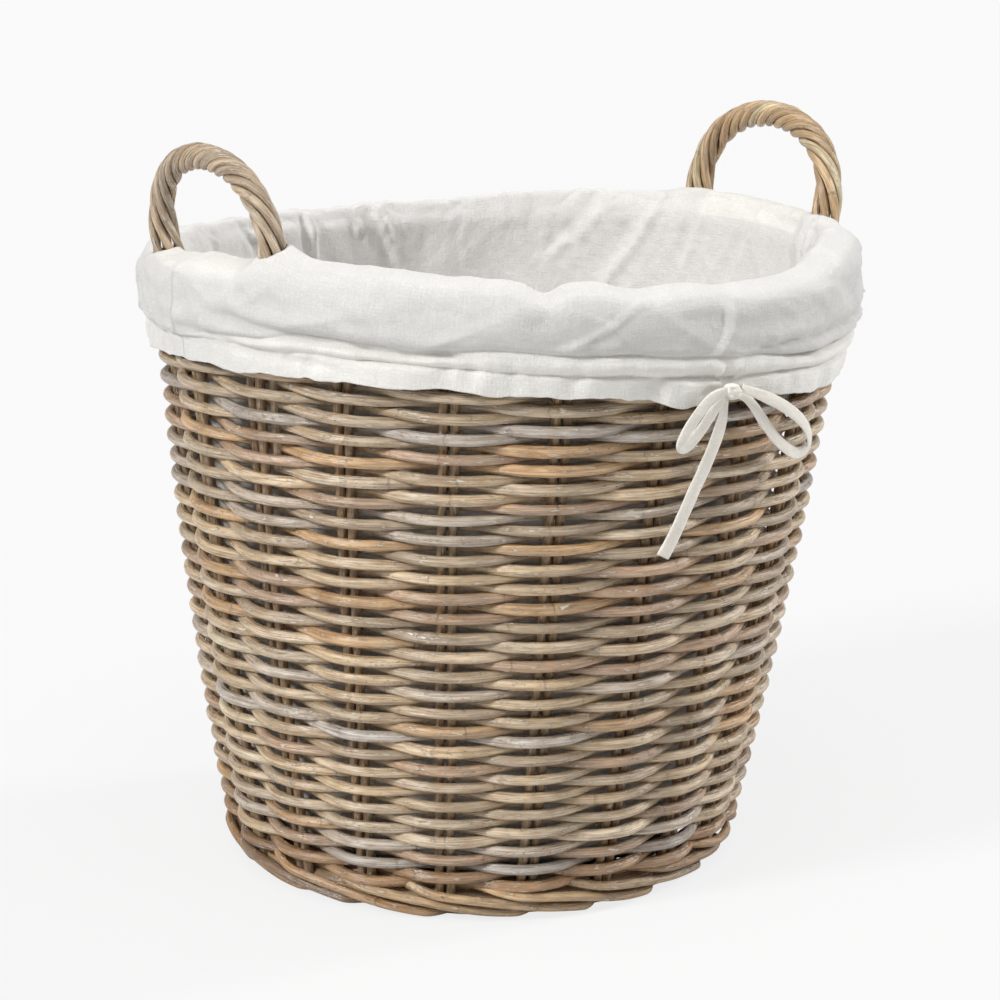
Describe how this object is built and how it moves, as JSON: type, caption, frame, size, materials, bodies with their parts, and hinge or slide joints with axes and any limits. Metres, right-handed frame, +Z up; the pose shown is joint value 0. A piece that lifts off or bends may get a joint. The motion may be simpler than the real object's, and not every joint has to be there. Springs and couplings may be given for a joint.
{
  "type": "wicker log basket",
  "caption": "Round tapered wicker log basket with rope-twisted loop handles, a rolled woven foot and a turned-over cotton liner tied with a tape bow.",
  "frame": {"origin": "on the floor under the middle of the basket's own box, the tape bow left out", "axes": "+Z up, the handles on +X and -X, the tape bow on the -Y side"},
  "size_m": [0.4994, 0.5061, 0.5141],
  "materials": {
    "wall_cane": "natural, weathered grey-brown, satin",
    "stake_cane": "natural, darker brown, satin",
    "handle_cane": "natural, golden brown, satin",
    "liner_cotton": "plain-woven cotton, matt",
    "drawstring_tape": "flat cotton tape, matt"
  },
  "bodies": {
    "root": {"base_stick_lower_01": "stake_cane", "base_stick_lower_02": "stake_cane", "base_stick_lower_03": "stake_cane", "base_stick_upper_01": "stake_cane", "base_stick_upper_02": "stake_cane", "base_stick_upper_03": "stake_cane", "base_course_01": "wall_cane", "base_course_02": "wall_cane", "foot_border": "wall_cane", "bottom_wale": "wall_cane", "stake_pair_01": "stake_cane", "stake_pair_02": "stake_cane", "stake_pair_03": "stake_cane", "stake_pair_04": "stake_cane", "stake_pair_05": "stake_cane", "stake_pair_06": "stake_cane", "stake_pair_07": "stake_cane", "stake_pair_08": "stake_cane", "stake_pair_09": "stake_cane", "stake_pair_10": "stake_cane", "stake_pair_11": "stake_cane", "stake_pair_12": "stake_cane", "stake_pair_13": "stake_cane", "stake_pair_14": "stake_cane", "stake_pair_15": "stake_cane", "stake_pair_16": "stake_cane", "stake_pair_17": "stake_cane", "stake_pair_18": "stake_cane", "stake_pair_19": "stake_cane", "stake_pair_20": "stake_cane", "wall_course_01": "wall_cane", "wall_course_02": "wall_cane", "wall_course_03": "wall_cane", "wall_course_04": "wall_cane", "wall_course_05": "wall_cane", "wall_course_06": "wall_cane", "wall_course_07": "wall_cane", "wall_course_08": "wall_cane", "rim_border": "wall_cane", "handle_core_right": "handle_cane", "handle_strand_right_01": "handle_cane", "handle_strand_right_02": "handle_cane", "handle_strand_right_03": "handle_cane", "handle_strand_right_04": "handle_cane", "handle_strand_right_05": "handle_cane", "handle_strand_right_06": "handle_cane", "handle_core_left": "handle_cane", "handle_strand_left_01": "handle_cane", "handle_strand_left_02": "handle_cane", "handle_strand_left_03": "handle_cane", "handle_strand_left_04": "handle_cane", "handle_strand_left_05": "handle_cane", "handle_strand_left_06": "handle_cane", "liner_bag": "liner_cotton", "liner_collar": "liner_cotton", "drawstring_band": "drawstring_tape", "drawstring_knot": "drawstring_tape", "drawstring_loop_left": "drawstring_tape", "drawstring_loop_right": "drawstring_tape", "drawstring_tail": "drawstring_tape"}
  },
  "joints": []
}
